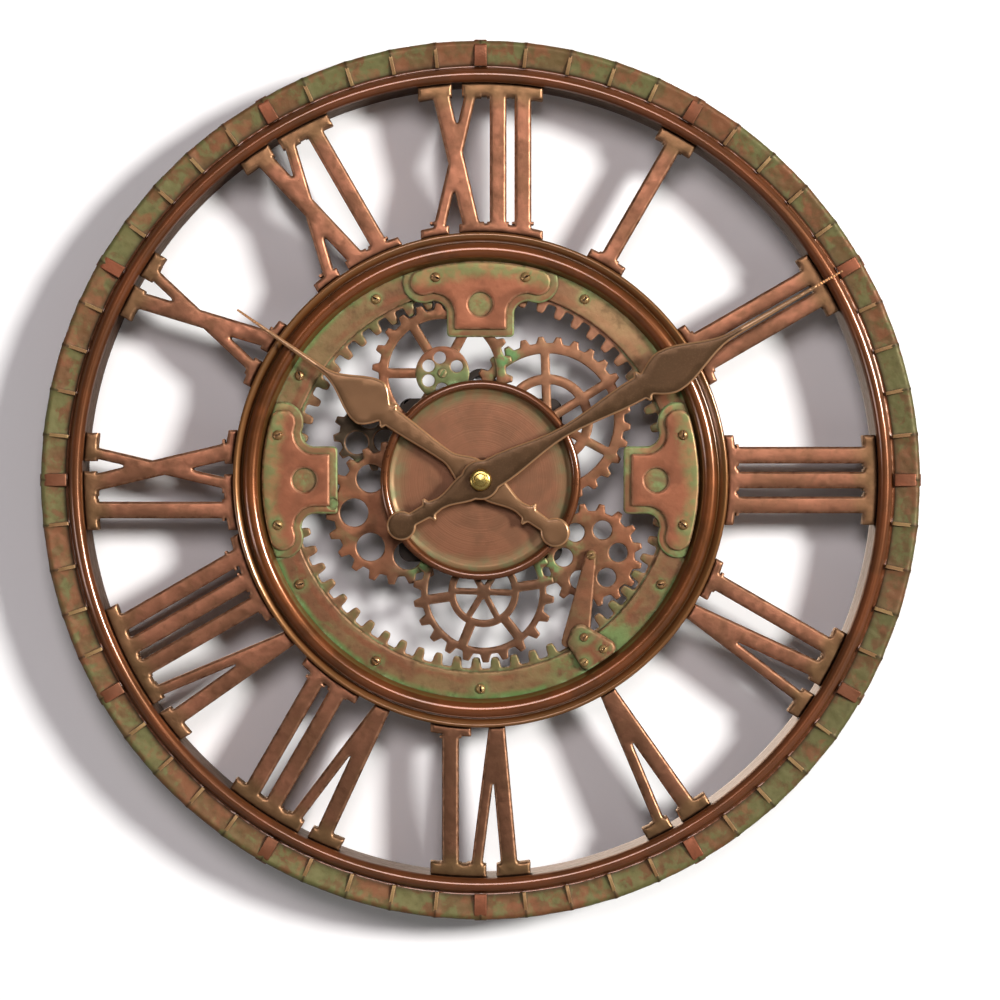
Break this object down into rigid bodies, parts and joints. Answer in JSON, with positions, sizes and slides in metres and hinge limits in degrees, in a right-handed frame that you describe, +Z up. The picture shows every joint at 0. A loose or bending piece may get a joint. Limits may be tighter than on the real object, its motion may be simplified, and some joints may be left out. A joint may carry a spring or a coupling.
{
  "type": "skeleton wall clock",
  "caption": "Round openwork wall clock with cast numerals, fixed ornamental wheels, two leaf hands and a battery quartz movement.",
  "frame": {"origin": "centre of the hanging hole, at the wall side of its tab, which is the plane of the wall", "axes": "the dial faces -Y, the wall is at y = 0 on the +Y side, +Z is up through twelve o'clock, +X points to three o'clock"},
  "size_m": [0.3008, 0.0336, 0.3008],
  "materials": {
    "cast_rim": "aged bronze with verdigris",
    "cast_copper": "aged copper, satin",
    "cast_green": "verdigris over bronze",
    "hand_bronze": "satin bronze paint",
    "brass": "polished",
    "steel": "bright",
    "case_black": "moulded black",
    "wheel_plastic": "moulded acetal",
    "copper_wire": "enamelled wire",
    "board": "solder mask",
    "cell": "printed sleeve"
  },
  "bodies": {
    "root": {"outer_rim": "cast_rim", "minute_ridges": "cast_copper", "hour_blocks": "cast_copper", "numeral_01": "cast_copper", "numeral_02": "cast_copper", "numeral_03": "cast_copper", "numeral_04": "cast_copper", "numeral_05": "cast_copper", "numeral_06": "cast_copper", "numeral_07": "cast_copper", "numeral_08": "cast_copper", "numeral_09": "cast_copper", "numeral_10": "cast_copper", "numeral_11": "cast_copper", "numeral_12": "cast_copper", "bezel": "cast_copper", "ring_gear": "cast_green", "bracket_top": "cast_copper", "bracket_right": "cast_copper", "bracket_left": "cast_copper", "bracket_screws": "brass", "ring_screws": "brass", "pawl_plate": "cast_copper", "pawl_lever": "cast_copper", "pawl_screws": "brass", "wheel_lower_right": "cast_copper", "wheel_bottom": "cast_copper", "wheel_upper_right": "cast_copper", "wheel_upper_left": "cast_copper", "wheel_left": "cast_copper", "wheel_small": "cast_copper", "pinion_disc": "cast_green", "centre_cup": "cast_copper", "centre_spacer": "case_black", "fixing_washer": "brass", "fixing_nut": "brass", "case_front": "case_black", "case_rear": "case_black", "threaded_bush": "brass", "stator": "steel", "coil": "copper_wire", "circuit_board": "board", "quartz_crystal": "steel", "chip_cover": "case_black", "contact_positive": "steel", "contact_negative": "steel"},
    "minute_group": {"minute_hand": "hand_bronze", "hand_nut": "brass", "minute_arbor": "steel", "clutch_spring": "brass"},
    "hour_group": {"hour_hand": "hand_bronze", "hour_wheel": "wheel_plastic"},
    "setting_group": {"setting_wheel": "wheel_plastic"},
    "centre_wheel": {"centre_wheel": "wheel_plastic"},
    "seconds_wheel": {"seconds_wheel": "wheel_plastic"},
    "third_wheel": {"third_wheel": "wheel_plastic"},
    "intermediate_wheel": {"intermediate_wheel": "wheel_plastic"},
    "rotor": {"rotor": "steel"},
    "battery": {"battery": "cell"}
  },
  "joints": [
    {"name": "minute_spin", "type": "hinge", "parent": "root", "child": "minute_group", "pos_m": [0, 0, -0.033], "axis": [0, 1, 0], "continuous": true},
    {"name": "hour_spin", "type": "hinge", "parent": "root", "child": "hour_group", "pos_m": [0, 0, -0.033], "axis": [0, 1, 0], "continuous": true},
    {"name": "setting_spin", "type": "hinge", "parent": "root", "child": "setting_group", "pos_m": [0, 0, -0.0234], "axis": [0, 1, 0], "continuous": true},
    {"name": "seconds_spin", "type": "hinge", "parent": "root", "child": "seconds_wheel", "pos_m": [0, 0, -0.033], "axis": [0, 1, 0], "continuous": true},
    {"name": "rotor_spin", "type": "hinge", "parent": "root", "child": "rotor", "pos_m": [-0.01279, 0, -0.02056], "axis": [0, 1, 0], "continuous": true},
    {"name": "intermediate_spin", "type": "hinge", "parent": "root", "child": "intermediate_wheel", "pos_m": [-0.00842, 0, -0.02814], "axis": [0, 1, 0], "continuous": true},
    {"name": "third_spin", "type": "hinge", "parent": "root", "child": "third_wheel", "pos_m": [0.00863, 0, -0.02986], "axis": [0, 1, 0], "continuous": true},
    {"name": "centre_spin", "type": "hinge", "parent": "root", "child": "centre_wheel", "pos_m": [0, 0, -0.033], "axis": [0, 1, 0], "continuous": true},
    {"name": "battery_slide", "type": "slide", "parent": "root", "child": "battery", "axis": [0, 1, 0], "range_m": [0, 0.02]}
  ],
  "couplings": [
    {"joint": "setting_spin", "follows": "minute_spin", "ratio": -0.33333},
    {"joint": "hour_spin", "follows": "minute_spin", "ratio": 0.083333},
    {"joint": "intermediate_spin", "follows": "seconds_spin", "ratio": -5},
    {"joint": "rotor_spin", "follows": "seconds_spin", "ratio": 30},
    {"joint": "third_spin", "follows": "seconds_spin", "ratio": -0.13333},
    {"joint": "centre_spin", "follows": "seconds_spin", "ratio": 0.016667}
  ]
}
